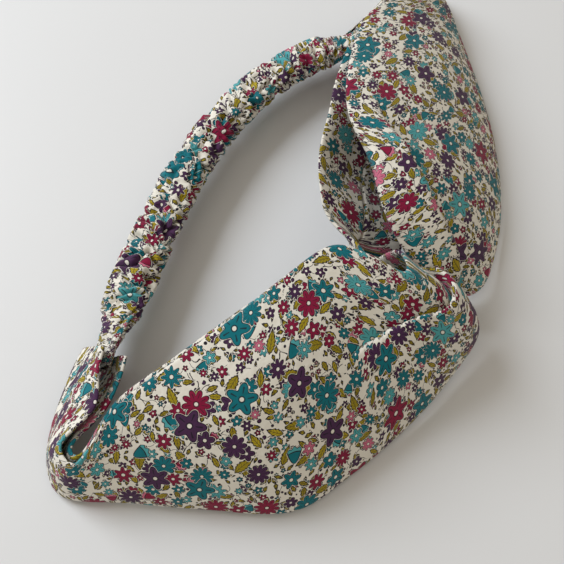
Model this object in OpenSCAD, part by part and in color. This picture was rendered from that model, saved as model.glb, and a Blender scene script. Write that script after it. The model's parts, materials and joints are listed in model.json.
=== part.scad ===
// Knotted fabric headband: two folded bands hooked through each other at the
// front, joined at the back by a ruched casing with an elastic inside.
// Millimetres, +Z up, resting on Z = 0.

/* [Ring] */
// Length of the relaxed ring along Y
ring_l = 240; // [200:1:290]
// Width of the relaxed ring along X
ring_w = 168; // [140:1:202]
// Height of the front bands
ring_h = 46; // [40:1:56]

/* [Bands] */
// Thickness of one leg of a folded band, two plies of lawn with air between
leg_t = 2.4; // [1.6:0.1:2.9]
// Gap between the two stacked legs of a band
leg_gap = 1.2; // [0.9:0.1:2]
// Clearance between the casing's end and each leg that holds it
seat_clear = 0.6; // [0.4:0.1:1]

/* [Knot] */
// Width of a band where it is gathered in the knot
bundle_w = 21; // [16:1:25]
// Reach of each bend past the knot's centre
bend_reach = 6; // [5:0.5:7]

/* [Casing] */
// Width of the ruched casing
casing_w = 17; // [14:0.5:21]
// Thickness of the ruched casing at its fullest
casing_t = 9.5; // [7:0.5:12]
// Width of the casing's pressed ends
casing_end_w = 14; // [11.5:0.5:17]
// Thickness of the casing's pressed ends
casing_end_t = 4.6; // [4:0.1:6]
// Wall of the casing, its cloth and gathers
casing_wall = 1; // [0.8:0.1:1.2]

/* [Elastic] */
// Width of the elastic
elastic_w = 9; // [7:0.5:11]
// Thickness of the elastic
elastic_t = 1.2; // [0.8:0.1:1.6]
// Space from the elastic's ends to the casing's ends
elastic_inset = 0.5; // [0.2:0.1:1]

/* [Stitching] */
// Diameter of the sewing thread's raised line
thread_d = 0.6; // [0.4:0.1:0.8]
// Width of a long seam's ridge
seam_w = 1.4; // [1:0.1:2]
// Stitches across each end seam
end_stitches = 6; // [4:1:7]
// Length of a bar tack
tack_l = 7; // [5:0.5:9]
// Width of a bar tack
tack_w = 1.8; // [1.2:0.1:2.4]

/* [Hidden] */

// The hand-set points below suit this ring, and stretch with it.
base_l = 240;
base_w = 168;
base_h = 46;
fit = [ring_w / base_w, ring_l / base_l, ring_h / base_h];

cloth_color = "OldLace";
thread_color = "Ivory";
elastic_color = "White";

inner_rise = 0.07;     // how far up the outer leg the inner leg's lower edge stands
casing_tuck = 6;       // how far the casing's ends are tucked into the bands
casing_lean = 20;      // the casing stands this steeply
across = 8;            // quads across a band
along = 5;             // quads between two stations of a band
ring_sides = 20;       // corners of a casing ring
swell_steps = 9;       // rings from a mouth to where the casing is full
casing_steps = 5;      // rings between two points of the casing's route

/* Vectors and curves */
function unit(v) = v / norm(v);
function scaled(p) = [p.x * fit.x, p.y * fit.y, p.z * fit.z];
function last(a) = a[len(a) - 1];
function reversed(a) = [for (i = [len(a) - 1:-1:0]) a[i]];
function mix(a, b, u) = a * (1 - u) + b * u;

// A smooth curve through any list of equally long vectors.
function spline_at(a, b, c, d, u) =
    (2 * b + (c - a) * u + (2 * a - 5 * b + 4 * c - d) * u * u
     + (3 * b - a - 3 * c + d) * u * u * u) / 2;
function spline(points, steps) = [
    for (i = [0:len(points) - 2], k = [0:steps - 1])
        spline_at(points[max(i - 1, 0)], points[i], points[i + 1],
                  points[min(i + 2, len(points) - 1)], k / steps),
    last(points)
];

/* Stations: a band's lower edge, its upper edge and how far it bulges between them */
function lower(s) = [s[0], s[1], s[2]];
function upper(s) = [s[3], s[4], s[5]];
function bulge(s) = s[6];
function station(low, high, swell) = concat(low, high, [swell]);
function fitted(s) = station(scaled(lower(s)), scaled(upper(s)), bulge(s));
function middle(s) = (lower(s) + upper(s)) / 2;
function outward(stations, i, side) = side * unit(cross(
    middle(stations[min(i + 1, len(stations) - 1)]) - middle(stations[max(i - 1, 0)]),
    upper(stations[i]) - lower(stations[i])));
function shifted(s, by) = station(lower(s) + by, upper(s) + by, bulge(s));

// The knot's own directions: along the ring, across the band, and out of it.
knot = scaled([34, -51.4, 25]);
knot_along = [0.53, 0.85, 0];
knot_across = [-0.6, 0.37, 0.71];
knot_out = [0.6, -0.37, 0.71];
function at_knot(a, b, c) = knot + a * knot_along + b * knot_across + c * knot_out;
half = bundle_w / 2;
stack = leg_t + leg_gap;

/* Left band: its outer leg from the left seam round the corner to the knot */
left_outer = [for (s = [
    [-71, -67, 4,   -60, -73, 21,  0],
    [-75, -77, 3,   -61, -82, 22,  0],
    [-83, -92, 2,   -64, -93, 23,  2],
    [-83, -106, 1,  -74, -104, 20, 1],
    [-76, -116, 1,  -68, -110, 21, 1],
    [-55, -118, 1,  -56, -96, 31,  4],
    [-32, -120, 1,  -39, -84, 37,  7],
    [-2, -121, 1,   -21, -71, 41,  9],
    [18, -109, 1,   -6, -59, 44,   9],
    [36, -94, 1,    10, -47, 45,   8],
    [52, -77, 2,    22, -49, 44,   8],
    [64, -59, 6,    34, -53, 39,   6]
]) fitted(s)];
left_bend = [
    station(at_knot(9, -half - 7, 5), at_knot(2, half - 1, 8), 1),
    station(at_knot(bend_reach, -half, 0), at_knot(bend_reach, half - 1, 0), 0),
    station(at_knot(3, -half, -9), at_knot(3, half - 2, -9), 0),
    station(at_knot(-7, -half - 2, -14), at_knot(-7, half - 4, -14), 0)
];
left_inner_front = [for (s = [
    [27, -81, 3,   1, -50, 30,  -5],
    [14, -101, 2,  -12, -61, 37, -7]
]) fitted(s)];

/* Right band: its outer leg from the right seam round the corner to the knot */
right_outer = [for (s = [
    [26, 82, 4,    33, 74, 21,  0],
    [33, 90, 3,    38, 80, 22,  0],
    [42, 103, 2,   42, 91, 23,  2],
    [51, 116, 1,   47, 107, 20, 1],
    [65, 114, 1,   59, 105, 20, 1],
    [72, 99, 1,    48, 86, 30,  4],
    [77, 78, 1,    29, 64, 37,  7],
    [81, 52, 1,    20, 35, 42,  9],
    [83, 25, 1,    18, 8, 44,   9],
    [82, 0, 1,     24, -14, 43, 8],
    [77, -23, 1,   30, -31, 40, 6],
    [67, -42, 3,   40, -40, 31, 2]
]) fitted(s)];
right_bend = [
    station(at_knot(9, -half - 8, -9), at_knot(9, -half - 7, 2), 0),
    station(at_knot(-1, -half - 8, -9), at_knot(-1, -half - 8, 2), 0),
    station(at_knot(-10, -half - 2, -8), at_knot(-10, -half - 2, 2), 0),
    station(at_knot(-9 - bend_reach, 0, -7), at_knot(-9 - bend_reach, 0, 2), 0),
    station(at_knot(-10, half + 2, -9), at_knot(-10, half + 2, 0), 0),
    station(at_knot(0, half + 9, -21), at_knot(0, half + 6, -2), 0)
];
right_inner_front = [for (s = [
    [30, -35, 17,  11, -30, 35,  0],
    [38, -22, 14,  8, -20, 38,   0],
    [42, -2, 10,   8, -5, 39,    1],
    [50, 22, 7,    12, 14, 38,  -2],
    [60, 44, 4,    16, 34, 36,  -5]
]) fitted(s)];

// Both legs of a band, from the outer leg's end, through the bend in the knot,
// to the inner leg's end. The first station of an outer leg is the casing's seat.
seats = 2;             // stations of each end that stand apart around the casing
seat_gap = casing_end_t + 2 * seat_clear + leg_t;
function seat(outer, i, side) = outward(outer, i, side) * seat_gap / 2;
function inner_leg(s, out) =
    let (t = shifted(s, -out * stack))
    station(mix(lower(t), upper(t), inner_rise), upper(t), -bulge(t));
function band(outer, bend, front, count, side) = concat(
    [for (i = [0:seats - 1]) shifted(outer[i], seat(outer, i, side))],
    [for (i = [seats:len(outer) - 1]) outer[i]],
    bend,
    front,
    [for (i = [count:-1:seats]) inner_leg(outer[i], outward(outer, i, side))],
    [for (i = [seats - 1:-1:0]) shifted(outer[i], -seat(outer, i, side))]);

left_band = band(left_outer, left_bend, left_inner_front, 7, 1);
right_band = band(right_outer, right_bend, right_inner_front, 6, -1);

/* The sheet between a band's two edges */
function sheet_point(s, out, v) =
    lower(s) * (1 - v) + upper(s) * v + out * bulge(s) * 4 * v * (1 - v);
function sheet(stations, side) =
    let (fine = spline(stations, along))
    [for (i = [0:len(fine) - 1])
        let (out = outward(fine, i, side))
        [for (j = [0:across]) sheet_point(fine[i], out, j / across)]];
function sheet_normal(grid, i, j, side) = side * unit(cross(
    grid[min(i + 1, len(grid) - 1)][j] - grid[max(i - 1, 0)][j],
    grid[i][min(j + 1, across)] - grid[i][max(j - 1, 0)]));

left_sheet = sheet(left_band, 1);
right_sheet = sheet(right_band, -1);

/* The casing's route, from inside the left band's end to inside the right one's */
function tucked(outer) =
    let (mouth = middle(outer[0]))
    [mouth + casing_tuck * unit(middle(outer[1]) - mouth), mouth];
casing_route = concat(
    tucked(left_outer),
    [for (p = [
        [-62, -56, 12], [-57, -38, 12], [-50, -16, 12], [-41, 8, 12],
        [-27, 33, 12], [-10, 53, 12], [8, 66, 12], [19, 71, 12]
    ]) scaled(p)],
    reversed(tucked(right_outer)));
casing_line = spline(casing_route, casing_steps);

function line_dir(i) = unit(casing_line[min(i + 1, len(casing_line) - 1)]
                            - casing_line[max(i - 1, 0)]);
// The pressed ends lie with the bands' ends; the rest leans into the ring.
function line_wide(i) =
    let (d = line_dir(i),
         inward = unit([d.y, -d.x, 0]),
         free = inward * cos(casing_lean) + [0, 0, sin(casing_lean)],
         held = i < len(casing_line) / 2 ? left_outer[0] : right_outer[0],
         w = mix(unit(upper(held) - lower(held)), free, fullness(i)))
    unit(w - d * (w * d));
function line_thick(i) = unit(cross(line_dir(i), line_wide(i)));
// 0 at the pressed ends, 1 where the casing is full
function fullness(i) =
    let (from_mouth = min(i, len(casing_line) - 1 - i) - casing_steps,
         rise = max(0, min(1, from_mouth / swell_steps)))
    rise * rise * (3 - 2 * rise);
function casing_ring(i, inset) =
    let (f = fullness(i),
         a = mix(casing_end_w, casing_w, f) / 2 - inset,
         b = mix(casing_end_t, casing_t, f) / 2 - inset)
    [for (k = [0:ring_sides - 1])
        let (t = 360 * k / ring_sides)
        casing_line[i] + line_wide(i) * a * cos(t) + line_thick(i) * b * sin(t)];

// Everything is set down with its lowest point on Z = 0 and its middle over the origin.
function rim_points(grid, side) = [
    for (i = [0:len(grid) - 1], j = [0:across], face = [-1, 1])
        grid[i][j] + face * sheet_normal(grid, i, j, side) * leg_t / 2];
hull_points = concat(rim_points(left_sheet, 1), rim_points(right_sheet, -1));
xs = [for (p = hull_points) p.x];
ys = [for (p = hull_points) p.y];
zs = [for (p = hull_points) p.z];
setting_down = -[(min(xs) + max(xs)) / 2, (min(ys) + max(ys)) / 2, min(zs)];

/* Solids from points */

// A closed skin over equal rings of points, with flat ends.
module skin(rings) {
    n = len(rings[0]);
    m = len(rings);
    polyhedron(
        points = [for (r = rings) each r],
        faces = concat(
            [[for (k = [0:n - 1]) k]],
            [for (i = [0:m - 2], k = [0:n - 1])
                each [[i * n + k, (i + 1) * n + k, (i + 1) * n + (k + 1) % n],
                      [i * n + k, (i + 1) * n + (k + 1) % n, i * n + (k + 1) % n]]],
            [[for (k = [n - 1:-1:0]) (m - 1) * n + k]]));
}

// An open-ended tube between outer rings and inner rings.
module tube(outside, inside) {
    n = len(outside[0]);
    m = len(outside);
    function outer_at(i, k) = i * n + k % n;
    function inner_at(i, k) = (m + i) * n + k % n;
    polyhedron(
        points = [for (r = concat(outside, inside)) each r],
        faces = [for (k = [0:n - 1]) each concat(
            [for (i = [0:m - 2]) each [
                [outer_at(i, k), outer_at(i + 1, k), outer_at(i + 1, k + 1)],
                [outer_at(i, k), outer_at(i + 1, k + 1), outer_at(i, k + 1)],
                [inner_at(i, k), inner_at(i + 1, k + 1), inner_at(i + 1, k)],
                [inner_at(i, k), inner_at(i, k + 1), inner_at(i + 1, k + 1)]]],
            [[outer_at(0, k), outer_at(0, k + 1), inner_at(0, k + 1)],
             [outer_at(0, k), inner_at(0, k + 1), inner_at(0, k)],
             [outer_at(m - 1, k), inner_at(m - 1, k), inner_at(m - 1, k + 1)],
             [outer_at(m - 1, k), inner_at(m - 1, k + 1), outer_at(m - 1, k + 1)]])]);
}

// The cloth of a band: the sheet with its thickness on both sides.
module cloth(grid, side) {
    rings = [for (i = [0:len(grid) - 1]) concat(
        [for (j = [0:across])
            grid[i][j] + sheet_normal(grid, i, j, side) * leg_t / 2],
        [for (j = [across:-1:0])
            grid[i][j] - sheet_normal(grid, i, j, side) * leg_t / 2])];
    skin(side > 0 ? [for (r = rings) reversed(r)] : rings);
}

// A long seam's ridge, along the middle of the face inside the fold.
module fold_seam(grid, side) {
    j = across / 2;
    hidden = seats * along - 1;
    rings = [for (i = [hidden:len(grid) - 1 - hidden])
        let (n = sheet_normal(grid, i, j, side),
             w = unit(grid[i][j + 1] - grid[i][j - 1]),
             c = grid[i][j] - n * leg_t / 2)
        [for (k = [0:5]) c + w * seam_w / 2 * cos(60 * k) + n * thread_d / 2 * sin(60 * k)]];
    skin(side > 0 ? rings : reversed(rings));
}

// A block from its centre, its half lengths as vectors.
module block(c, a, b, d) {
    skin([for (s = [-1, 1])
        [c - a - b, c + a - b, c + a + b, c - a + b] + s * [d, d, d, d]]);
}

// A row of stitches across a band's end, on both of its outside faces.
module end_seam(grid, side) {
    row = 2;
    faces = [[row, row + 1], [len(grid) - 1 - row, len(grid) - 2 - row]];
    for (f = faces, k = [0:end_stitches - 1]) {
        v = (k + 0.5) / end_stitches * across;
        j = min(floor(v), across - 1);
        p = mix(grid[f[0]][j], grid[f[0]][j + 1], v - j);
        n = sheet_normal(grid, f[0], j, side);
        w = unit(grid[f[0]][j + 1] - grid[f[0]][j]);
        run = norm(grid[f[0]][across] - grid[f[0]][0]) / end_stitches;
        block(p + n * leg_t / 2, w * run * 0.36, unit(cross(n, w)) * thread_d / 2,
              n * thread_d / 2);
    }
}

// A bar tack through the casing's end and the elastic in it.
module tack(i) {
    thick = mix(casing_end_t, casing_t, fullness(i));
    block(casing_line[i], line_dir(i) * tack_w / 2, line_wide(i) * tack_l / 2,
          line_thick(i) * (thick + thread_d) / 2);
}

module strip_left() color(cloth_color) translate(setting_down) cloth(left_sheet, 1);

module strip_right() color(cloth_color) translate(setting_down) cloth(right_sheet, -1);

module strip_left_seam() color(thread_color) translate(setting_down) fold_seam(left_sheet, 1);

module strip_right_seam() color(thread_color) translate(setting_down) fold_seam(right_sheet, -1);

module elastic_casing() color(cloth_color) translate(setting_down)
    tube([for (i = [0:len(casing_line) - 1]) casing_ring(i, 0)],
         [for (i = [0:len(casing_line) - 1]) casing_ring(i, casing_wall)]);

// The ridge of the casing's own seam, on the inside of its wall.
module casing_seam() color(thread_color) translate(setting_down) {
    skin([for (i = [1:len(casing_line) - 2])
        let (b = mix(casing_end_t, casing_t, fullness(i)) / 2 - casing_wall,
             c = casing_line[i] - line_thick(i) * b)
        [for (k = [0:5]) c + line_wide(i) * seam_w / 2 * cos(60 * k)
                         + line_thick(i) * thread_d / 2 * sin(60 * k)]]);
}

module elastic_band() color(elastic_color) translate(setting_down) {
    n = len(casing_line);
    ends = [casing_line[0] + line_dir(0) * elastic_inset,
            casing_line[n - 1] - line_dir(n - 1) * elastic_inset];
    skin([for (i = [0:n - 1])
        let (c = i == 0 ? ends[0] : i == n - 1 ? ends[1] : casing_line[i],
             a = line_wide(i) * elastic_w / 2, b = line_thick(i) * elastic_t / 2)
        [c - a - b, c + a - b, c + a + b, c - a + b]]);
}

module left_end_seam() color(thread_color) translate(setting_down) end_seam(left_sheet, 1);

module right_end_seam() color(thread_color) translate(setting_down) end_seam(right_sheet, -1);

module left_elastic_tack() color(thread_color) translate(setting_down) tack(3);

module right_elastic_tack() color(thread_color) translate(setting_down)
    tack(len(casing_line) - 4);

strip_left();
strip_right();
strip_left_seam();
strip_right_seam();
elastic_casing();
casing_seam();
elastic_band();
left_end_seam();
right_end_seam();
left_elastic_tack();
right_elastic_tack();
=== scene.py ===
"""Knotted headband of printed lawn: two folded bands hooked through each other, and a ruched back."""

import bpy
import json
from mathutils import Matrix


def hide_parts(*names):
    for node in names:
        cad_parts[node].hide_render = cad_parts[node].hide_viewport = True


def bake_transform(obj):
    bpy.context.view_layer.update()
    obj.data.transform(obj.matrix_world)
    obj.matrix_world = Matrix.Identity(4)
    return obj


bl_info = {
    "name": "Knotted Headband",
    "version": (1, 0, 0),
    "blender": (4, 5, 0),
    "location": "3D View > Sidebar > Headband",
    "description": "Builds a knotted fabric headband round its fitting model",
    "category": "Add Mesh",
}

import json
import math

import bmesh
import bpy
import numpy as np
from bpy.props import FloatProperty, FloatVectorProperty, IntProperty, PointerProperty
from bpy.types import Operator, Panel, PropertyGroup
from mathutils import Matrix, Vector, noise

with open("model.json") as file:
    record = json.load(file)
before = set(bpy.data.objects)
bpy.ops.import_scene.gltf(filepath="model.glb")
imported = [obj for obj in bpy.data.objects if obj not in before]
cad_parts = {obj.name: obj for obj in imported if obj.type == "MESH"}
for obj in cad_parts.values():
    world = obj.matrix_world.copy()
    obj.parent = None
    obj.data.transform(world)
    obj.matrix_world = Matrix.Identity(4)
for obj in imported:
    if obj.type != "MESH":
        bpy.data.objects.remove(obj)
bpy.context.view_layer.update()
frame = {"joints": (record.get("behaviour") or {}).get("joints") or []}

MM = 0.001
TURN = 2 * math.pi
JOINTS = {joint["name"]: joint for joint in frame["joints"]}

# ---------------------------------------------------------------- shape of the bands, in millimetres

KNOT = np.array((34.0, -51.4, 25.0))
KNOT_ALONG = np.array((0.53, 0.85, 0.0))
KNOT_ACROSS = np.array((-0.6, 0.37, 0.71))
KNOT_OUT = np.array((0.6, -0.37, 0.71))


def at_knot(along, across, out):
    """A point of the knot, from how far it lies along the ring, across the band and out of it."""
    return KNOT + along * KNOT_ALONG + across * KNOT_ACROSS + out * KNOT_OUT


def station(low, high, bulge=0.0):
    """Where a band is cut across: its lower edge, its upper edge and its bulge."""
    return np.array((*low, *high, bulge), float)


# The outer leg of each band, from its seam round the corner to the knot.
LEFT_OUTER = [station(low, high, bulge) for low, high, bulge in (
    ((-71, -67, 4), (-60, -73, 21), 0),
    ((-75, -77, 3), (-61, -82, 22), 0),
    ((-83, -92, 2), (-64, -93, 23), 2),
    ((-83, -106, 1), (-74, -104, 20), 1),
    ((-76, -116, 1), (-68, -110, 21), 1),
    ((-55, -118, 1), (-56, -96, 31), 4),
    ((-32, -120, 1), (-39, -84, 37), 7),
    ((-2, -121, 1), (-21, -71, 41), 9),
    ((18, -109, 1), (-6, -59, 44), 9),
    ((36, -94, 1), (10, -47, 45), 8),
    ((52, -77, 2), (22, -49, 44), 8),
    ((64, -59, 6), (34, -53, 39), 6),
)]
RIGHT_OUTER = [station(low, high, bulge) for low, high, bulge in (
    ((26, 82, 4), (33, 74, 21), 0),
    ((33, 90, 3), (38, 80, 22), 0),
    ((42, 103, 2), (42, 91, 23), 2),
    ((51, 116, 1), (47, 107, 20), 1),
    ((65, 114, 1), (59, 105, 20), 1),
    ((72, 99, 1), (48, 86, 30), 4),
    ((77, 78, 1), (29, 64, 37), 7),
    ((81, 52, 1), (20, 35, 42), 9),
    ((83, 25, 1), (18, 8, 44), 9),
    ((82, 0, 1), (24, -14, 43), 8),
    ((77, -23, 1), (28, -31, 40), 6),
    ((67, -42, 3), (35, -41, 32), 2),
)]
# The frame says where the left band's end is set down.
LEFT_END = (LEFT_OUTER[0][0:3] + LEFT_OUTER[0][3:6]) / 2
SET_DOWN = np.array(JOINTS["left_seam_flex"]["pos_m"]) / MM - LEFT_END

# The bend of each band inside the knot, then the front of its inner leg. The left bend reaches further
# along the ring, because the thin cloth has to close the throat of the knot.
HALF_BUNDLE = 10.5
LEFT_REACH = 8.5
RIGHT_REACH = 6.0
LEFT_BEND = [
    station(at_knot(9, -HALF_BUNDLE - 7, 5), at_knot(5, HALF_BUNDLE - 1, 7), 1),
    station(at_knot(LEFT_REACH, -HALF_BUNDLE, 0), at_knot(LEFT_REACH, HALF_BUNDLE - 1, 0)),
    station(at_knot(3, -HALF_BUNDLE, -9), at_knot(3, HALF_BUNDLE - 2, -9)),
    station(at_knot(-7, -HALF_BUNDLE - 2, -14), at_knot(-7, HALF_BUNDLE - 4, -14)),
    station((27, -81, 3), (1, -50, 30), -5),
    station((14, -101, 2), (-12, -61, 37), -7),
]
RIGHT_BEND = [
    station(at_knot(9, -HALF_BUNDLE - 8, -9), at_knot(9, -HALF_BUNDLE - 7, 2)),
    station(at_knot(-1, -HALF_BUNDLE - 8, -9), at_knot(-1, -HALF_BUNDLE - 8, 2)),
    station(at_knot(-10, -HALF_BUNDLE - 2, -8), at_knot(-10, -HALF_BUNDLE - 2, 2)),
    station(at_knot(-9 - RIGHT_REACH, 0, -7), at_knot(-9 - RIGHT_REACH, 0, 2)),
    station(at_knot(-10, HALF_BUNDLE + 2, -9), at_knot(-10, HALF_BUNDLE + 2, 0)),
    station(at_knot(0, HALF_BUNDLE + 9, -21), at_knot(0, HALF_BUNDLE + 6, -2)),
    station((33, -37, 17), (11, -30, 35)),
    station((40, -24, 14), (8, -20, 38)),
    station((42, -2, 10), (8, -5, 39), 1),
    station((50, 22, 7), (12, 14, 38), -2),
    station((60, 44, 4), (16, 34, 36), -5),
]
SEATS = 2              # stations of each end that stand apart round the casing
SEAT_GAP = 8.2         # between the two legs where they hold the casing's end
STACK = 3.6            # between the two legs elsewhere
INNER_RISE = 0.07      # share of the width by which the inner leg's lower edge is higher
EDGE_CROWDING = 0.28   # share by which the columns of a band crowd towards its two edges
PLEAT_CLOTH = 0.42     # share of the cloth's columns that lie in the doubled part of a pleat


def unit(v):
    """Vectors of length 1, along the last axis."""
    return v / np.maximum(np.linalg.norm(v, axis=-1, keepdims=True), 1e-9)


def ease(u):
    """0 to 1 with a soft start and end."""
    u = np.clip(u, 0.0, 1.0)
    return u * u * (3 - 2 * u)


def spline(points, at):
    """A smooth curve through a list of equally long vectors, at the given fractional indices."""
    points = np.asarray(points, float)
    last = len(points) - 1
    i = np.clip(np.floor(at).astype(int), 0, last - 1)
    u = (np.asarray(at) - i)[:, None]
    a, b = points[np.maximum(i - 1, 0)], points[i]
    c, d = points[i + 1], points[np.minimum(i + 2, last)]
    return (2 * b + (c - a) * u + (2 * a - 5 * b + 4 * c - d) * u**2 + (3 * b - a - 3 * c + d) * u**3) / 2


def outward(stations, side):
    """The direction out of the band at each station."""
    middle = (stations[:, 0:3] + stations[:, 3:6]) / 2
    along = np.empty_like(middle)
    along[1:-1] = middle[2:] - middle[:-2]
    along[0], along[-1] = middle[1] - middle[0], middle[-1] - middle[-2]
    return side * unit(np.cross(along, stations[:, 3:6] - stations[:, 0:3]))


def moved(s, by):
    """A station moved by a vector."""
    return station(s[0:3] + by, s[3:6] + by, s[6])


def whole_band(outer, bend, count, side):
    """Both legs of a band: the outer one to the knot, the bend, and the inner one back."""
    out = outward(np.array(outer), side)
    ends = [out[i] * SEAT_GAP / 2 for i in range(SEATS)]
    legs = [moved(outer[i], ends[i]) for i in range(SEATS)] + outer[SEATS:] + bend
    for i in range(count, SEATS - 1, -1):
        s = moved(outer[i], -out[i] * STACK)
        legs.append(station(s[0:3] + (s[3:6] - s[0:3]) * INNER_RISE, s[3:6], -s[6]))
    return np.array(legs + [moved(outer[i], -ends[i]) for i in range(SEATS - 1, -1, -1)])


LEFT_BAND = whole_band(LEFT_OUTER, LEFT_BEND, 7, 1)
RIGHT_BAND = whole_band(RIGHT_OUTER, RIGHT_BEND, 6, -1)


def pleat(cloth, start, lap, rise, grown):
    """Where a pressed pleat puts each share of the cloth: across the band, and above it.

    The top layer comes down from the upper edge to start, doubles back by lap and goes on beneath.
    grown is 0 where there is no pleat yet and 1 where it is whole. Beneath the pleat the cloth sinks a
    little, and the top layer stands highest at its fold.
    """
    lap, rise, folded = lap * grown, rise * grown, PLEAT_CLOTH * grown
    first = (1 - folded) * start / (1 - lap)
    along = (0.0, first, first + folded * 0.4, first + folded, 1.0)
    turn = start + lap
    across = np.interp(cloth, along, (0.0, start, turn, start, 1.0))
    height = np.interp(cloth, along, (0.0, -0.3 * rise, -0.25 * rise, rise, rise * 0.25))
    return across, height


def rounded(values, times):
    """Values along the last axis with their corners rounded, and their ends kept."""
    for _ in range(times):
        values = values.copy()
        values[..., 1:-1] = (values[..., :-2] + 2 * values[..., 1:-1] + values[..., 2:]) / 4
    return values


class BandSheet:
    """A band's middle surface, as a grid of points and normals in millimetres.

    fold gives where a row of the cloth lies across the band and above it, at a station. plain is the
    surface without that fold and without creases.
    """

    def __init__(self, stations, side, fold, seed):
        shape = shape_settings()
        self.thick = shape.band_thickness / MM
        self.last = len(stations) - 1
        self.rows, self.across = shape.band_steps, shape.band_across
        self.at = np.linspace(0, self.last, self.rows + 1)
        fine = spline(stations, self.at)
        out = outward(fine, side)[:, None, :]
        even = np.linspace(0, 1, self.across + 1)
        crowded = 0.5 - 0.5 * np.cos(np.pi * even)
        share = even * (1 - EDGE_CROWDING) + crowded * EDGE_CROWDING
        place, height = np.swapaxes([fold(here, share) for here in self.at], 0, 1)
        place, height = rounded(place, 3), rounded(height, 3)
        height = rounded(height.T, 4).T + pulled(self.at, place, seed)
        low, high, bulge = fine[:, None, 0:3], fine[:, None, 3:6], fine[:, 6][:, None]
        arch = bulge * 4 * share * (1 - share)
        self.plain = low + (high - low) * share[None, :, None] + out * arch[..., None]
        rise = bulge * 4 * place * (1 - place) + height
        self.points = low + (high - low) * place[..., None] + out * rise[..., None] + SET_DOWN
        self.normals = grid_normals(self.points, side)

    def spot(self, at, v, face=0.0):
        """A point on the band, its normal and its direction; face is -1 or 1 for its two faces."""
        row = int(round(at / self.last * self.rows))
        row = min(max(row, 1), self.rows - 1)
        column = v * self.across
        j = min(int(column), self.across - 1)
        share = column - j
        point = self.points[row, j] * (1 - share) + self.points[row, j + 1] * share
        normal = self.normals[row, j]
        direction = unit(self.points[row + 1, j] - self.points[row - 1, j])
        return point + normal * self.thick / 2 * face, normal, direction

    def skin(self):
        """The band's cloth all round, from the seam in the middle of its hidden face."""
        half = self.across // 2
        v = np.linspace(-1, 1, self.across + 1)
        plump = self.thick / 2 * np.sqrt(np.clip(1 - np.abs(v) ** 12, 0.0, 1.0))
        plump = plump[None, :, None]
        front = self.points + self.normals * plump
        back = self.points - self.normals * plump
        sunk = np.ones(self.across + 1)
        sunk[half - 1:half + 2] = (0.8, 0.35, 0.8)
        back = self.points + (back - self.points) * sunk[None, :, None]
        return self.ring(back, front)

    def ring(self, back, front):
        """The points of the two faces as one ring for each row, from the seam."""
        half = self.across // 2
        return np.concatenate((back[:, half::-1], front[:, 1:], back[:, -2:half - 1:-1]), axis=1)


def grid_normals(points, side):
    """The normal of a grid of points at each of them."""
    along = np.gradient(points, axis=0)
    across = np.gradient(points, axis=1)
    return side * unit(np.cross(along, across))


# ---------------------------------------------------------------- meshes


def new_piece(name, mesh_from, smooth=True):
    """An object with its mesh from a bmesh, in the scene."""
    mesh = bpy.data.meshes.new(name)
    mesh_from.to_mesh(mesh)
    mesh_from.free()
    for polygon in mesh.polygons:
        polygon.use_smooth = smooth
    piece = bpy.data.objects.new(name, mesh)
    bpy.context.collection.objects.link(piece)
    return piece


def real_lengths(points, plain, straight):
    """How far each point of a grid lies along and across the flat cloth, in millimetres.

    plain is the same grid without its pleat and creases, which gives the lengths along it. straight
    gives the rows of the two legs where the print runs straight across; the print takes up the
    difference between them inside the knot, over a tenth of the rows.
    """
    steps = np.linalg.norm(np.diff(plain, axis=0), axis=2)
    along = np.concatenate((np.zeros((1, points.shape[1])), np.cumsum(steps, axis=0)))
    middle = along.mean(axis=1, keepdims=True)
    lean = along - middle
    rows = np.arange(len(points))[:, None]
    knot = (straight[0] + straight[1]) / 2
    inner = ease((rows - knot) / (len(points) * 0.1) + 0.5)
    along = middle + lean - lean[straight[0]] * (1 - inner) - lean[straight[1]] * inner
    steps = np.linalg.norm(np.diff(points, axis=1), axis=2)
    across = np.concatenate((np.zeros((points.shape[0], 1)), np.cumsum(steps, axis=1)), axis=1)
    return np.stack((along, across - across[:, -1:] / 2), axis=2)


def laid_grid(points, closed, cloth):
    """A bmesh grid laid over an array of points; closed joins its long sides into a tube.

    cloth is where each point lies on the flat cloth, in millimetres, which the print follows.
    """
    steps, across = points.shape[0] - 1, points.shape[1] - 1
    bm = bmesh.new()
    bmesh.ops.create_grid(bm, x_segments=steps, y_segments=across, size=0.5)
    layer = bm.loops.layers.uv.new("cloth")
    for face in bm.faces:
        for loop in face.loops:
            i = round((loop.vert.co.x + 0.5) * steps)
            j = round((loop.vert.co.y + 0.5) * across)
            loop[layer].uv = cloth[i, j] * MM
    for vert in bm.verts:
        i = round((vert.co.x + 0.5) * steps)
        j = round((vert.co.y + 0.5) * across)
        if closed and j in (0, across):
            vert.tag = True
        vert.co = Vector(points[i, j] * MM)
    if closed:
        rim = [vert for vert in bm.verts if vert.tag]
        bmesh.ops.remove_doubles(bm, verts=rim, dist=1e-6)
    bmesh.ops.recalc_face_normals(bm, faces=bm.faces)
    return bm


def even_cloth(shape, long, wide):
    """The flat cloth of a grid that is evenly gathered: long by wide, in millimetres."""
    along = np.linspace(0, long, shape[0])[:, None].repeat(shape[1], 1)
    across = np.linspace(0, wide, shape[1])[None, :].repeat(shape[0], 0)
    return np.stack((along, across), axis=2)


def give_wall(piece, thickness, offset=-1.0):
    """Gives a surface its thickness: inwards at an offset of -1, to both sides at 0."""
    wall = piece.modifiers.new("wall", "SOLIDIFY")
    wall.thickness = thickness
    wall.offset = offset


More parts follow.
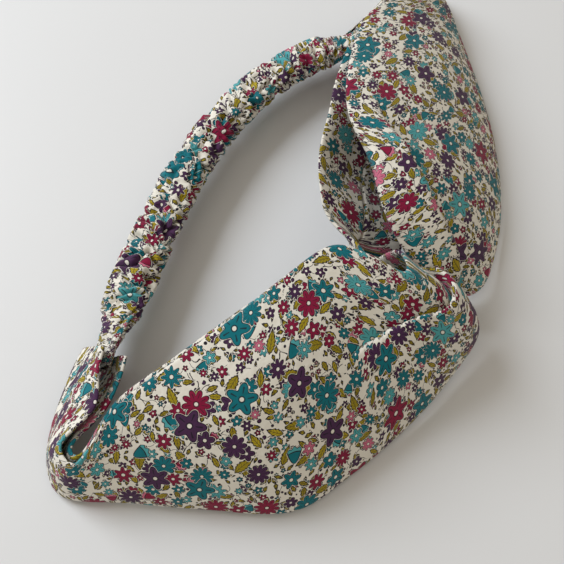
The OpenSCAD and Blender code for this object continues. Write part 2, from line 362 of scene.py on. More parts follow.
def sew(name, places, long, thick):
    """A row of stitches, each from its place, its direction and the normal under it, in millimetres."""
    bm = bmesh.new()
    for place, direction, normal in places:
        x = Vector(direction).normalized()
        z = Vector(normal).normalized()
        y = z.cross(x).normalized()
        lie = Matrix((x * long / 2, y * thick / 2, z * thick / 2)).transposed().to_4x4()
        lie.translation = Vector(place)
        bmesh.ops.create_icosphere(bm, subdivisions=1, radius=1.0, matrix=Matrix.Scale(MM, 4) @ lie)
    piece = new_piece(name, bm)
    piece.data.materials.append(sewing_thread(cloth_settings()))
    return piece


def join_frame(piece, node):
    """Lets a finished piece stand for its CAD node: bakes its placement into its mesh and hides the node.
    """
    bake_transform(piece)
    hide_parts(node)


# ---------------------------------------------------------------- shader helpers


class Value:
    """A shader socket that takes part in Python expressions."""

    def __init__(self, shade, socket):
        self.shade, self.socket = shade, socket

    def math(self, operation, other=None, swap=False):
        pair = [self] if other is None else [self, other]
        if swap:
            pair.reverse()
        return self.shade.node("ShaderNodeMath", dict(enumerate(pair)), operation=operation)

    def __add__(self, other):
        return self.math("ADD", other)

    def __sub__(self, other):
        return self.math("SUBTRACT", other)

    def __rsub__(self, other):
        return self.math("SUBTRACT", other, swap=True)

    def __mul__(self, other):
        return self.math("MULTIPLY", other)

    def __truediv__(self, other):
        return self.math("DIVIDE", other)

    def __pow__(self, other):
        return self.math("POWER", other)

    def __lt__(self, other):
        return self.math("LESS_THAN", other)

    def __gt__(self, other):
        return self.math("GREATER_THAN", other)

    def __abs__(self):
        return self.math("ABSOLUTE")

    __radd__ = __add__
    __rmul__ = __mul__

    def least(self, other):
        return self.math("MINIMUM", other)

    def most(self, other):
        return self.math("MAXIMUM", other)

    def wave(self):
        return self.math("COSINE")

    def whole(self):
        return self.math("FLOOR")


class Shade:
    """A material's node tree, and the one way that nodes are added to it."""

    def __init__(self, name, roughness, specular=0.3, sheen=0.0):
        self.material = bpy.data.materials.new(name)
        self.material.use_nodes = True
        self.tree = self.material.node_tree
        self.surface = self.tree.nodes["Principled BSDF"]
        self.surface.inputs["Roughness"].default_value = roughness
        self.surface.inputs["Specular IOR Level"].default_value = specular
        self.surface.inputs["Sheen Weight"].default_value = sheen

    def node(self, kind, inputs=(), output=0, **settings):
        made = self.tree.nodes.new(kind)
        stops = settings.pop("stops", ())
        for key, value in settings.items():
            setattr(made, key, value)
        if stops:
            ramp = made.color_ramp
            ramp.interpolation = "CONSTANT"
            for position, colour_there in stops[1:]:
                ramp.elements.new(position).color = colour_there
            ramp.elements[0].color = stops[0][1]
            ramp.elements.remove(ramp.elements[-1])
        for key, value in dict(inputs).items():
            if isinstance(value, Value):
                self.tree.links.new(value.socket, made.inputs[key])
            else:
                made.inputs[key].default_value = value
        if output is None:
            return made
        return Value(self, made.outputs[output])

    def output(self, value, name):
        return Value(self, value.socket.node.outputs[name])

    def mix(self, share, under, over):
        """under where share is 0 and over where it is 1; both are colours."""
        return self.node("ShaderNodeMix", {0: share, 6: under, 7: over}, output=2, data_type="RGBA")

    def vector(self, operation, a, b=None, output=0):
        inputs = {0: a} if b is None else {0: a, 1: b}
        return self.node("ShaderNodeVectorMath", inputs, output=output, operation=operation)

    def parts(self, vector):
        made = self.node("ShaderNodeSeparateXYZ", {0: vector}, output=None)
        return [Value(self, socket) for socket in made.outputs]

    def feed(self, name, value):
        self.tree.links.new(value.socket, self.surface.inputs[name])

    def bump(self, height, distance, strength=1.0):
        self.feed("Normal", self.node(
            "ShaderNodeBump", {"Height": height, "Distance": distance, "Strength": strength}))


# ---------------------------------------------------------------- the printed lawn


def colour(red, green, blue):
    """An sRGB colour as the linear one that a socket takes."""
    return tuple((c / 12.92 if c <= 0.04045 else ((c + 0.055) / 1.055) ** 2.4)
                 for c in (red, green, blue)) + (1.0,)


NOTCH = 0.42    # share of a flower's radius that the notches between its petals cut away


class Print:
    """Draws the floral print: cells of several sizes, each with one motif that fits inside it."""

    def __init__(self, shade, inks):
        self.shade, self.inks = shade, inks
        place = shade.node("ShaderNodeUVMap", uv_map="cloth")
        self.place = shade.vector("MULTIPLY", place, (1 / MM, 1 / MM, 0.0))
        self.paper = inks.cream

    def cells(self, size, seed, loose):
        """The cell round each point, in millimetres.

        Gives where the point lies in it, its free radius, three random numbers and its centre.
        """
        shade = self.shade
        grid = shade.vector("ADD", shade.vector("MULTIPLY", self.place, (1 / size, 1 / size, 0.0)),
                            (seed * 3.7, seed * 5.3, 0.0))
        centre = shade.node("ShaderNodeTexVoronoi", {"Vector": grid, "Scale": 1.0, "Randomness": loose},
                            output="Position", voronoi_dimensions="2D")
        free = shade.node("ShaderNodeTexVoronoi", {"Vector": grid, "Scale": 1.0, "Randomness": loose},
                          output="Radius", voronoi_dimensions="2D", feature="N_SPHERE_RADIUS")
        local = shade.vector("MULTIPLY", shade.vector("SUBTRACT", grid, centre), (size, size, 0.0))
        chance = shade.parts(shade.output(centre, "Color"))
        return local, free * size, chance, centre

    def petal_ink(self, chance, centre, size):
        """A petal colour picked by chance, with neighbours often alike."""
        drift = self.shade.node("ShaderNodeTexNoise", noise_dimensions="2D",
                                inputs={"Vector": centre, "Scale": 0.06 * size, "Detail": 1.0})
        pick = (chance * 0.8 + drift * 1.7).math("FRACT")
        return self.shade.node("ShaderNodeValToRGB", {"Fac": pick}, stops=self.inks.petals_by_share)

    def lay(self, inside, ink, halo):
        """Prints a motif: clear ground just round it, then its ink, edged by a thin dark line."""
        shade, inks = self.shade, self.inks
        cleared = shade.mix(inside > -halo, self.paper, inks.cream)
        edged = shade.mix(inside < inks.line, ink, inks.outline)
        self.paper = shade.mix(inside > 0.0, cleared, edged)

    def kept(self, inside, chance, share):
        """A motif's inside where chance is under its share of the cells, and far outside elsewhere."""
        held = chance < share
        return inside * held - (1 - held) * 9.0

    def blossoms(self, size, reach, share, seed, petals, sharp, heart=0.2, loose=0.75):
        """Flowers seen from above, with a pale eye and a line down each petal.

        petals is the least number of petals and how many more there may be; sharp is how pointed they
        are, from and to.
        """
        shade, inks = self.shade, self.inks
        local, free, (one, two, three), centre = self.cells(size, seed, loose)
        x, y, _ = shade.parts(local)
        far = shade.vector("LENGTH", local, output="Value")
        turn = y.math("ARCTAN2", x) + one * TURN
        count = (two * petals[1] + petals[0]).whole()
        swing = (turn * count).wave() * 0.5 + 0.5
        reach_now = (free * 0.95).least(reach) * (three * 0.25 + 0.78)
        lobes = swing ** (three * (sharp[1] - sharp[0]) + sharp[0]) * NOTCH + (1 - NOTCH)
        inside = self.kept(reach_now * lobes - far, (three * 7.3).math("FRACT"), share)
        ink = self.petal_ink(one, centre, size)
        near = far / reach_now
        vein = (swing > 0.965) * (near > 0.34) * (near < 0.74)
        ink = shade.mix(vein * 0.8, ink, inks.outline)
        ink = shade.mix((near < heart + 0.08) * 0.8, ink, inks.outline)
        ink = shade.mix(near < heart, ink, inks.cream)
        self.lay(inside, ink, inks.halo)

    def leaves(self, size, reach, share, seed, slim=0.42, loose=0.8):
        """Pointed leaves with a midrib and side veins."""
        shade, inks = self.shade, self.inks
        local, free, (one, two, three), _ = self.cells(size, seed, loose)
        turned = shade.node("ShaderNodeVectorRotate", {"Vector": local, "Angle": one * TURN},
                            rotation_type="Z_AXIS")
        x, y, _ = shade.parts(turned)
        bow = y + x * x * (two - 0.5) * (0.35 / reach)
        length = (free * 1.25).least(reach) * (three * 0.3 + 0.75)
        t = x / length
        wide = (1 - t * t).most(0.0) * (1 - t * 0.38) * length * slim
        off = abs(bow)
        saw = (x * 5.2 + off * 4.0).wave() * 0.1 + 0.95
        inside = self.kept(wide * saw - off, (two * 5.7).math("FRACT"), share)
        rib = (off < 0.11) + ((x * 5.6 - off * 7.0).wave() > 0.86)
        ink = shade.mix(three, inks.leaf, inks.leaf_dark)
        ink = shade.mix(rib.least(1.0) * 0.7, ink, inks.outline)
        self.lay(inside, ink, inks.halo)

    def bells(self, size, reach, share, seed):
        """Bell flowers from the side, with a frilled pale rim."""
        shade, inks = self.shade, self.inks
        local, free, (one, two, three), _ = self.cells(size, seed, 0.8)
        turned = shade.node("ShaderNodeVectorRotate", {"Vector": local, "Angle": two * TURN},
                            rotation_type="Z_AXIS")
        x, y, _ = shade.parts(turned)
        long = (free * 0.95).least(reach) * (three * 0.25 + 0.75)
        t = (x / long * 0.75 + 0.4).most(0.0)
        wide = long * t ** 0.5 * 0.7
        frill = (y / long * 15.0).wave() * 0.09 + 0.91
        inside = (wide - abs(y)).least((long * frill * 0.8 - x - y * y / long * 0.9).least(long + x))
        inside = self.kept(inside, (three * 7.3).math("FRACT"), share)
        body = shade.mix(one > 0.35, shade.mix(one > 0.7, inks.burgundy, inks.plum), inks.teal)
        rim = shade.mix(one > 0.35, inks.pink, inks.light_teal)
        edge = x / long + (y / long) * (y / long) * 0.4
        ink = shade.mix(edge > 0.36, body, rim)
        ink = shade.mix(abs(edge - 0.36) < 0.04, ink, inks.outline)
        self.lay(inside, ink, inks.halo)

    def berries(self, size, reach, share, seed):
        """Small dark dots."""
        shade, inks = self.shade, self.inks
        local, free, (one, two, three), _ = self.cells(size, seed, 0.9)
        far = shade.vector("LENGTH", local, output="Value")
        held = two < share
        inside = (free * 0.8).least(reach) * (three * 0.4 + 0.6) * held - far
        ink = shade.mix(one > 0.6, shade.mix(one > 0.8, inks.plum, inks.burgundy), inks.outline)
        self.lay(inside, ink, inks.berry_halo)

    def stems(self, size, width, seed):
        """Thin dark stems that run between the motifs and branch."""
        shade, inks = self.shade, self.inks
        sway = shade.node("ShaderNodeTexNoise", {"Vector": self.place, "Scale": 0.22, "Detail": 0.0},
                          output="Color", noise_dimensions="2D")
        swayed = shade.vector("ADD", self.place, shade.vector("MULTIPLY", sway, (5.0, 5.0, 0.0)))
        grid = shade.vector("ADD", shade.vector("MULTIPLY", swayed, (1 / size, 1 / size, 0.0)),
                            (seed, seed * 2.0, 0.0))
        edge = shade.node("ShaderNodeTexVoronoi", {"Vector": grid, "Scale": 1.0, "Randomness": 1.0},
                          output="Distance", voronoi_dimensions="2D", feature="DISTANCE_TO_EDGE")
        broken = shade.node("ShaderNodeTexNoise", {"Vector": self.place, "Scale": 0.16, "Detail": 0.0},
                            noise_dimensions="2D")
        self.paper = shade.mix((edge * size < width) * (broken > 0.47), self.paper, inks.outline)


class Inks:
    """The print's colours, read from the settings, and its line widths in millimetres."""

    line = 0.34
    halo = 0.16
    berry_halo = 0.25

    def __init__(self, settings):
        self.cream = (*settings.cream, 1.0)
        self.outline = (*settings.outline, 1.0)
        self.leaf = (*settings.leaf, 1.0)
        self.leaf_dark = (*settings.leaf_dark, 1.0)
        self.teal = (*settings.teal, 1.0)
        self.light_teal = (*settings.light_teal, 1.0)
        self.burgundy = (*settings.burgundy, 1.0)
        self.plum = (*settings.plum, 1.0)
        self.pink = (*settings.pink, 1.0)
        self.petals_by_share = (
            (0.0, self.teal), (0.14, self.burgundy), (0.3, self.plum), (0.46, self.light_teal),
            (0.6, self.burgundy), (0.72, self.pink), (0.82, self.teal), (0.92, self.plum))


def printed_lawn(settings):
    """Cream cotton lawn with the dense small floral print and a fine plain weave."""
    known = bpy.data.materials.get("printed_lawn")
    if known:
        return known
    shade = Shade("printed_lawn", roughness=0.85, specular=0.2, sheen=0.12)
    draw = Print(shade, Inks(settings))
    draw.stems(size=5.6, width=0.13, seed=1.3)
    draw.berries(size=3.1, reach=0.75, share=0.6, seed=2.1)
    draw.leaves(size=3.8, reach=2.6, share=1.0, seed=3.2, slim=0.48)
    draw.blossoms(size=5.0, reach=2.7, share=0.9, seed=4.4,
                  petals=(5.0, 1.99), sharp=(0.4, 0.9), heart=0.2)
    draw.leaves(size=6.8, reach=4.8, share=0.95, seed=5.1)
    draw.bells(size=14.0, reach=4.6, share=0.7, seed=8.6)
    draw.blossoms(size=8.2, reach=4.0, share=0.95, seed=6.2,
                  petals=(5.0, 3.99), sharp=(0.3, 1.0), heart=0.17)
    draw.blossoms(size=15.0, reach=4.6, share=0.55, seed=9.7,
                  petals=(8.0, 3.99), sharp=(0.25, 0.4), heart=0.13)
    draw.blossoms(size=22.0, reach=6.0, share=0.8, seed=7.9,
                  petals=(5.0, 1.99), sharp=(0.7, 1.3), heart=0.13, loose=0.9)
    shade.feed("Base Color", draw.paper)
    x, y, _ = shade.parts(draw.place)
    threads = TURN * settings.thread_count / 10.0
    weave = (x * threads).wave() * (y * threads).wave()
    crease = shade.node("ShaderNodeTexNoise", {"Vector": draw.place, "Scale": 0.35, "Detail": 3.0},
                        noise_dimensions="2D")
    shade.bump(weave * 0.012 + crease * 0.35, MM)
    return shade.material


# Pitches of the thread's twist and of the elastic's ribs and picks, in metres.
PLY_PITCH = 0.0006
RIB_PITCH = 0.0011
PICK_PITCH = 0.0008


def sewing_thread(settings):
    """Cream thread with its twist as fine slanting ridges, and painted shade in the grooves between them.
    """
    known = bpy.data.materials.get("sewing_thread")
    if known:
        return known
    shade = Shade("sewing_thread", roughness=0.6, specular=0.35, sheen=0.1)
    place = shade.node("ShaderNodeTexCoord", output="Object")
    x, y, z = shade.parts(place)
    ply = ((x + y + z) * (TURN / PLY_PITCH)).wave() * 0.5 + 0.5
    # The colour is darker where the twist is low: painted shade in its grooves.
    shade.feed("Base Color", shade.mix(ply, (*settings.thread_shade, 1.0), (*settings.thread, 1.0)))
    shade.bump(ply, 0.00008)
    return shade.material


def braided_elastic(settings):
    """White flat elastic, braided in narrow ribs along its length, with painted shade in the grooves
    between them.
    """
    known = bpy.data.materials.get("braided_elastic")
    if known:
        return known
    shade = Shade("braided_elastic", roughness=0.7, specular=0.3)
    place = shade.node("ShaderNodeUVMap", uv_map="cloth")
    x, y, _ = shade.parts(place)
    ribs = (y * (TURN / RIB_PITCH)).wave() * 0.5 + 0.5
    picks = (x * (TURN / PICK_PITCH) + ribs * 3.0).wave() * 0.5 + 0.5
    height = ribs * 0.7 + picks * 0.3
    # Darker where the ribs and picks are low: painted shade in the grooves.
    shade.feed("Base Color", shade.mix(height, (*settings.elastic_shade, 1.0), (*settings.elastic, 1.0)))
    shade.bump(height, 0.0002)
    return shade.material


# ---------------------------------------------------------------- settings


def ink_property(name, red, green, blue):
    """A colour setting, its default given as sRGB from 0 to 255."""
    default = colour(red / 255, green / 255, blue / 255)[:3]
    return FloatVectorProperty(name=name, description=f"{name} of the print or finish", subtype="COLOR",
                               size=3, min=0.0, max=1.0, default=default)


class HEADBAND_PG_cloth(PropertyGroup):
    """The colours of the cloth, thread and elastic."""

    cream: ink_property("Cream ground", 226, 222, 212)
    outline: ink_property("Outline", 28, 22, 34)
    leaf: ink_property("Leaf", 176, 156, 30)
    leaf_dark: ink_property("Dark leaf", 146, 130, 22)
    teal: ink_property("Teal", 6, 108, 120)
    light_teal: ink_property("Light teal", 78, 160, 166)
    burgundy: ink_property("Burgundy", 134, 16, 58)
    plum: ink_property("Plum", 70, 38, 74)
    pink: ink_property("Pink", 198, 106, 132)
    thread: ink_property("Thread", 232, 226, 210)
    # Painted shade for the grooves of the thread's twist.
    thread_shade: ink_property("Thread shade", 196, 188, 170)
    elastic: ink_property("Elastic", 240, 240, 236)
    # Painted shade for the grooves of the elastic's ribs.
    elastic_shade: ink_property("Elastic shade", 200, 200, 196)
    thread_count: FloatProperty(name="Threads", description="Threads of the weave in each centimetre",
                                default=30.0, min=10.0, max=60.0)


class HEADBAND_PG_shape(PropertyGroup):
    """The sizes of the soft pieces."""

    band_thickness: FloatProperty(
        name="Band thickness", description="Thickness of one leg, its two layers and the air between them",
        default=0.0015, min=0.0008, max=0.0024, unit="LENGTH")
    cloth_thickness: FloatProperty(
        name="Cloth thickness", description="Thickness of one layer of the lawn",
        default=0.0003, min=0.0001, max=0.0005, unit="LENGTH")
    band_steps: IntProperty(
        name="Band steps", description="Faces along each band", default=250, min=60, max=400)
    band_across: IntProperty(
        name="Faces across", description="Faces across each band", default=84, min=12, max=96)
    casing_steps: IntProperty(
        name="Casing steps", description="Faces along the casing", default=420, min=80, max=600)
    casing_around: IntProperty(
        name="Casing around", description="Faces round the casing", default=72, min=12, max=90)
    gather: FloatProperty(
        name="Gather", description="Length of the flat casing cloth for each metre gathered",
        default=1.4, min=1.0, max=3.0)


def cloth_settings():
    """The scene's colours."""
    return bpy.context.scene.headband_cloth


def shape_settings():
    """The scene's sizes."""
    return bpy.context.scene.headband_shape


# ---------------------------------------------------------------- pieces


def pulled(at, v, seed):
    """Soft creases along a band, deeper where the knot pulls it together."""
    last = at[-1]
    height = np.zeros_like(v)
    for row, here in enumerate(at):
        near_knot = math.exp(-((here - last / 2) / 2.6) ** 2)
        near_end = math.exp(-(min(here, last - here) / 2.0) ** 2)
        depth = 0.25 + 0.75 * near_knot + 0.45 * near_end
        for column in range(v.shape[1]):
            across = v[row, column]
            fine = noise.noise(Vector((here * 0.42, across * 7.0, seed)))
            broad = noise.noise(Vector((here * 0.55, across * 2.4, seed + 9.0)))
            edge = min(1.0, 8.0 * min(across, 1 - across) + 0.15)
            height[row, column] = (fine * 0.75 * depth + broad * 0.9) * edge
    return height


def left_tuck(at, cloth):
    """The tuck that runs out of the knot into the left band's outer leg."""
    grown = float(ease((at - 8.2) / 1.6) * (1 - ease((at - 11.7) / 0.8)))
    start = float(np.interp(at, (8.0, 9.0, 10.0, 11.0), (0.55, 0.55, 0.6, 0.62)))
    across, rise = pleat(1 - cloth, 1 - start, 0.13, 3.4, grown)
    return 1 - across, rise


def right_flap(at, cloth):
    """The broad flap that folds over the right band's outer leg and widens towards the knot."""
    grown = float(ease((at - 7.6) / 1.3) * (1 - ease((at - 11.3) / 0.8)))
    start = float(np.interp(at, (8.4, 9.0, 10.0, 11.0), (0.86, 0.82, 0.70, 0.46)))
    return pleat(cloth, start, 0.12, 6.0, grown)


# Stitches: the thickness of the thread and the pitch of the long seam, in millimetres, then how far in
# from a band's end its stitches lie, in stations, and how many there are across it.
STITCH_THICK = 0.4
SEAM_PITCH = 2.6
END_SEAM_IN = 0.4
END_STITCHES = 14

SHEETS = {}
# The stations of each band's outer and inner leg where the print runs straight across.
PRINT_STRAIGHT = {"left": (7.0, 20.0), "right": (8.0, 20.0)}


def band_sheet(which):
    """The middle surface of one band, worked out once."""
    if which not in SHEETS:
        if which == "left":
            SHEETS[which] = BandSheet(LEFT_BAND, 1, left_tuck, 4.0)
        else:
            SHEETS[which] = BandSheet(RIGHT_BAND, -1, right_flap, 17.0)
    return SHEETS[which]


def band_piece(which):
    """Builds one band: its hollow folded cloth with the print, standing for its CAD strip."""
    shape = shape_settings()
    sheet = band_sheet(which)
    skin = sheet.skin()
    straight = [int(np.argmin(np.abs(sheet.at - at))) for at in PRINT_STRAIGHT[which]]
    cloth = real_lengths(skin, sheet.ring(sheet.plain, sheet.plain), straight)
    piece = new_piece(f"{which}_band", laid_grid(skin, True, cloth))
    give_wall(piece, shape.cloth_thickness)
    piece.data.materials.append(printed_lawn(cloth_settings()))
    join_frame(piece, f"strip_{which}")


def long_seam(which):
    """The row of stitches that closes a band, along the middle of its hidden face."""
    sheet = band_sheet(which)
    places = []
    for at in np.linspace(SEATS, sheet.last - SEATS, 1400):
        point, normal, direction = sheet.spot(at, 0.5, -0.5)
        if not places or np.linalg.norm(point - places[-1][0]) >= SEAM_PITCH:
            places.append((point, direction, normal))
    piece = sew(f"{which}_band_seam", places, SEAM_PITCH * 0.8, 0.45)
    join_frame(piece, f"strip_{which}_seam")


def end_stitches(which):
    """The stitches across both ends of a band, on its outside faces."""
    sheet = band_sheet(which)
    places = []
    for at in (END_SEAM_IN, sheet.last - END_SEAM_IN):
        for k in range(END_STITCHES):
            v = 0.06 + 0.88 * (k + 0.5) / END_STITCHES
            point, normal, _ = sheet.spot(at, v, 1.0)
            beyond, _, _ = sheet.spot(at, v + 0.02, 1.0)
            places.append((point, beyond - point, normal))
    piece = sew(f"{which}_end_stitches", places, 1.05, STITCH_THICK)
    join_frame(piece, f"{which}_end_seam")


# The casing's route between the bands' ends, how far its ends are tucked into them, its lean in degrees
# from lying flat, and half its width and half its thickness along the middle and at its ends.
CASING_MIDDLE = ((-62, -56, 12), (-57, -38, 12), (-50, -16, 12), (-41, 8, 12),
                 (-27, 33, 12), (-10, 53, 12), (8, 66, 12), (19, 71, 12))
CASING_TUCK = 6.0
CASING_LEAN = 20.0
CASING_HALF = (7.9, 4.6)
CASING_END_HALF = (7.4, 2.1)
CASING_FLAT_WIDTH = 46.0
# The ruches: the distance between them and how deep they are, for the main and the small ones, and how
# far the cloth may sink in and stand out.
RUCHE_PITCH, RUCHE_DEPTH = 6.2, 5.4
SMALL_PITCH, SMALL_DEPTH = 3.1, 0.8
LIFT_LEAST, LIFT_MOST = -3.2, 1.8
# The flat elastic and the seams of the back.
ELASTIC_WIDE, ELASTIC_THICK = 9.0, 1.2
BACK_STEPS = 160
TACK_STITCHES = 9


def casing_line(steps):
    """The casing's middle line, the wide and thick directions across it, and how full it is there."""
    ends = []
    for outer in (LEFT_OUTER, RIGHT_OUTER):
        first, second = ((s[0:3] + s[3:6]) / 2 for s in outer[:2])
        ends.append([first + CASING_TUCK * unit(second - first), first])
    route = np.array(ends[0] + [np.array(p, float) for p in CASING_MIDDLE] + ends[1][::-1])
    last = len(route) - 1
    at = np.linspace(0, last, steps + 1)
    line = spline(route, at)
    direction = unit(np.gradient(line, axis=0))
    full = ease((np.minimum(at, last - at) - 1.0) / 1.8)[:, None]
    lean = math.radians(CASING_LEAN)
    inward = unit(np.stack((direction[:, 1], -direction[:, 0], 0 * at), axis=1))
    free = inward * math.cos(lean) + np.array((0.0, 0.0, math.sin(lean)))
    held = np.where((at < last / 2)[:, None], unit(LEFT_OUTER[0][3:6] - LEFT_OUTER[0][0:3]),
                    unit(RIGHT_OUTER[0][3:6] - RIGHT_OUTER[0][0:3]))
    wide = held * (1 - full) + free * full
    wide = unit(wide - direction * (wide * direction).sum(1, keepdims=True))
    return line + SET_DOWN, wide, unit(np.cross(direction, wide)), full[:, 0]


def between(end, middle, full):
    """A size that grows from its value at the casing's ends to its value along the middle."""
    return end + (middle - end) * full


def ruched_skin(steps, around):
    """The gathered casing all round: folds that cross it at a slant, deep and uneven."""
    line, wide, thick, full = casing_line(steps)
    far = np.concatenate(([0.0], np.cumsum(np.linalg.norm(np.diff(line, axis=0), axis=1))))
    points = np.zeros((steps + 1, around + 1, 3))
    for i in range(steps + 1):
        half_wide = between(CASING_END_HALF[0], CASING_HALF[0], full[i])
        half_thick = between(CASING_END_HALF[1], CASING_HALF[1], full[i])
        for j in range(around + 1):
            turn = TURN * (j % around) / around
            c, s = math.cos(turn), math.sin(turn)
            shift = noise.noise(Vector((c * 0.9, s * 0.9, far[i] * 0.09))) * 2.0
            shift += 0.55 * c * math.sin(far[i] * 0.11 + 1.0) + 0.35 * s
            wavy = noise.noise(Vector((c * 2.0, s * 2.0, far[i] * 0.3 + 50.0))) * 0.3
            fold = abs(math.sin(math.pi * (far[i] / RUCHE_PITCH + shift + wavy)))
            small = abs(math.sin(math.pi * (far[i] / SMALL_PITCH - shift * 0.8 + wavy + 0.3)))
            strong = 0.8 + 0.7 * noise.noise(Vector((c * 0.8, s * 0.8, far[i] * 0.16 + 30.0)))
            lift = (fold ** 0.5 - 0.62) * RUCHE_DEPTH * max(strong, 0.35)
            lift = (lift + (small ** 0.7 - 0.6) * SMALL_DEPTH) * between(0.25, 1.0, full[i])
            lift = min(max(lift, LIFT_LEAST), LIFT_MOST)
            radial = wide[i] * c * half_wide + thick[i] * s * half_thick
            points[i, j] = line[i] + radial + (wide[i] * c + thick[i] * s) * lift
    return points, far[-1]


class HEADBAND_OT_left_band(Operator):
    """Builds the left folded band"""

    bl_idname = "headband.left_band"
    bl_label = "Left Band"

    def execute(self, context):
        band_piece("left")
        return {"FINISHED"}


class HEADBAND_OT_right_band(Operator):
    """Builds the right folded band"""

    bl_idname = "headband.right_band"
    bl_label = "Right Band"

    def execute(self, context):
        band_piece("right")
        return {"FINISHED"}


class HEADBAND_OT_casing(Operator):
    """Builds the gathered casing of the back"""

    bl_idname = "headband.casing"
    bl_label = "Ruched Casing"

    def execute(self, context):
        shape = shape_settings()
        points, length = ruched_skin(shape.casing_steps, shape.casing_around)
        cloth = even_cloth(points.shape, length * shape.gather, CASING_FLAT_WIDTH)
        piece = new_piece("ruched_casing", laid_grid(points, True, cloth))
        give_wall(piece, shape.cloth_thickness)
        piece.data.materials.append(printed_lawn(cloth_settings()))
        join_frame(piece, "elastic_casing")
        length * MM * shape.gather
        return {"FINISHED"}


class HEADBAND_OT_elastic(Operator):
    """Builds the flat elastic inside the casing"""

    bl_idname = "headband.elastic"
    bl_label = "Elastic"

    def execute(self, context):
        line, wide, _, _ = casing_line(BACK_STEPS)
        line, wide = line[2:-2], wide[2:-2]
        share = np.linspace(-1, 1, 13)[None, :, None]
        points = line[:, None, :] + wide[:, None, :] * share * ELASTIC_WIDE / 2
        length = np.linalg.norm(np.diff(line, axis=0), axis=1).sum()
        cloth = even_cloth(points.shape, length, ELASTIC_WIDE)
        piece = new_piece("flat_elastic", laid_grid(points, False, cloth))
        give_wall(piece, ELASTIC_THICK * MM, offset=0.0)
        piece.data.materials.append(braided_elastic(cloth_settings()))
        join_frame(piece, "elastic_band")
        return {"FINISHED"}


def back_seam():
    """The row of stitches that closes the casing, along its hidden side."""
    line, _, thick, full = casing_line(BACK_STEPS)
    direction = unit(np.gradient(line, axis=0))
    places = []
    for i in range(4, len(line) - 4, 2):
        sunk = between(CASING_END_HALF[1], CASING_HALF[1], full[i]) - 0.8
        places.append((line[i] - thick[i] * sunk, direction[i], thick[i]))
    piece = sew("ruched_casing_seam", places, 1.8, STITCH_THICK)
    join_frame(piece, "casing_seam")


def bar_tack(which, i):
    """Zigzag stitches on both faces of the casing that hold the elastic, at a point of the middle line."""
    line, wide, thick, _ = casing_line(BACK_STEPS)
    direction = unit(np.gradient(line, axis=0))
    places = []
    for k in range(TACK_STITCHES):
        for face in (-1, 1):
            place = line[i] + wide[i] * (k - TACK_STITCHES // 2) * 0.8 + thick[i] * face * 2.2
            places.append((place, direction[i] + wide[i] * 0.25 * (-1) ** k, thick[i]))
    piece = sew(f"{which}_bar_tack", places, 1.8, STITCH_THICK)
    join_frame(piece, f"{which}_elastic_tack")


class HEADBAND_OT_seams(Operator):
    """Sews the long seams, the band ends, the casing and the ends of the elastic"""

    bl_idname = "headband.seams"
    bl_label = "Seams"

    def execute(self, context):
        for which in ("left", "right"):
            long_seam(which)
            end_stitches(which)
        back_seam()
        bar_tack("left", 10)
        bar_tack("right", BACK_STEPS - 10)
        return {"FINISHED"}


# ---------------------------------------------------------------- stage


AIM = Vector((-0.0046, -0.0407, 0.0133))
CAMERA_RISE = math.radians(62.0)
CAMERA_DISTANCE = 0.277
CAMERA_LENS = 49.45
# Each light's place, size, power and tint.
WINDOW = ((-0.85, 0.5, 0.85), 0.7, 15.5, (0.9, 0.95, 1.0))
FILL = ((-0.3, -0.9, 0.8), 1.0, 0.8, (1.0, 0.97, 0.93))


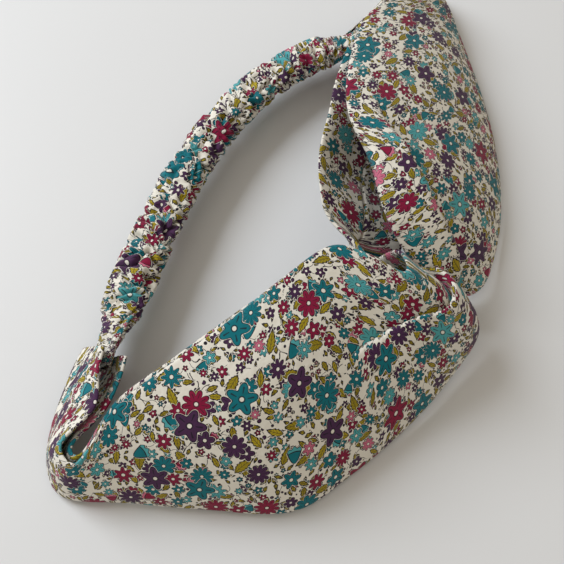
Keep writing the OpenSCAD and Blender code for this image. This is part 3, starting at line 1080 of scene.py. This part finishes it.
class HEADBAND_OT_stage(Operator):
    """Sets the floor, the lights and the camera"""

    bl_idname = "headband.stage"
    bl_label = "Stage"

    def execute(self, context):
        bm = bmesh.new()
        bmesh.ops.create_grid(bm, x_segments=1, y_segments=1, size=3.0)
        floor = new_piece("floor", bm, smooth=False)
        shade = Shade("table_top", roughness=0.45, specular=0.25)
        shade.surface.inputs["Base Color"].default_value = colour(0.86, 0.865, 0.875)
        floor.data.materials.append(shade.material)
        world = bpy.data.worlds.new("room")
        context.scene.world = world
        world.use_nodes = True
        room = world.node_tree.nodes["Background"]
        room.inputs["Color"].default_value = (1.0, 0.9, 0.75, 1.0)
        room.inputs["Strength"].default_value = 0.45
        self.light("window", *WINDOW)
        self.light("fill", *FILL)
        camera = bpy.data.cameras.new("camera")
        camera.lens = CAMERA_LENS
        camera.clip_start = 0.01
        eye = bpy.data.objects.new("camera", camera)
        back = Vector((0.0, -math.cos(CAMERA_RISE), math.sin(CAMERA_RISE)))
        eye.location = AIM + CAMERA_DISTANCE * back
        eye.rotation_euler = (math.radians(90.0) - CAMERA_RISE, 0.0, 0.0)
        context.collection.objects.link(eye)
        context.scene.camera = eye
        context.scene.view_settings.view_transform = "Standard"
        return {"FINISHED"}

    def light(self, name, place, size, power, tint):
        """A square soft light that faces the headband."""
        lamp = bpy.data.lights.new(name, "AREA")
        lamp.size = size
        lamp.energy = power
        lamp.color = tint
        light = bpy.data.objects.new(name, lamp)
        light.location = place
        light.rotation_euler = (Vector(place) - AIM).to_track_quat("Z", "Y").to_euler()
        bpy.context.collection.objects.link(light)


class HEADBAND_PT_panel(Panel):
    """Lists the headband's settings and operators."""

    bl_idname = "HEADBAND_PT_panel"
    bl_label = "Knotted Headband"
    bl_space_type = "VIEW_3D"
    bl_region_type = "UI"
    bl_category = "Headband"

    def draw(self, context):
        for settings in (context.scene.headband_shape, context.scene.headband_cloth):
            for name in settings.__annotations__:
                self.layout.prop(settings, name)
        for operator in OPERATORS:
            self.layout.operator(operator.bl_idname)


OPERATORS = (HEADBAND_OT_stage, HEADBAND_OT_left_band, HEADBAND_OT_right_band, HEADBAND_OT_casing,
             HEADBAND_OT_elastic, HEADBAND_OT_seams)
CLASSES = (HEADBAND_PG_cloth, HEADBAND_PG_shape, *OPERATORS, HEADBAND_PT_panel)


def register():
    for cls in CLASSES:
        bpy.utils.register_class(cls)
    bpy.types.Scene.headband_cloth = PointerProperty(type=HEADBAND_PG_cloth)
    bpy.types.Scene.headband_shape = PointerProperty(type=HEADBAND_PG_shape)


def unregister():
    del bpy.types.Scene.headband_shape
    del bpy.types.Scene.headband_cloth
    for cls in reversed(CLASSES):
        bpy.utils.unregister_class(cls)


def main():
    """Builds the whole headband."""
    register()
    for operator in OPERATORS:
        group, name = operator.bl_idname.split(".")
        getattr(getattr(bpy.ops, group), name)()


if __name__ == "__main__":
    main()
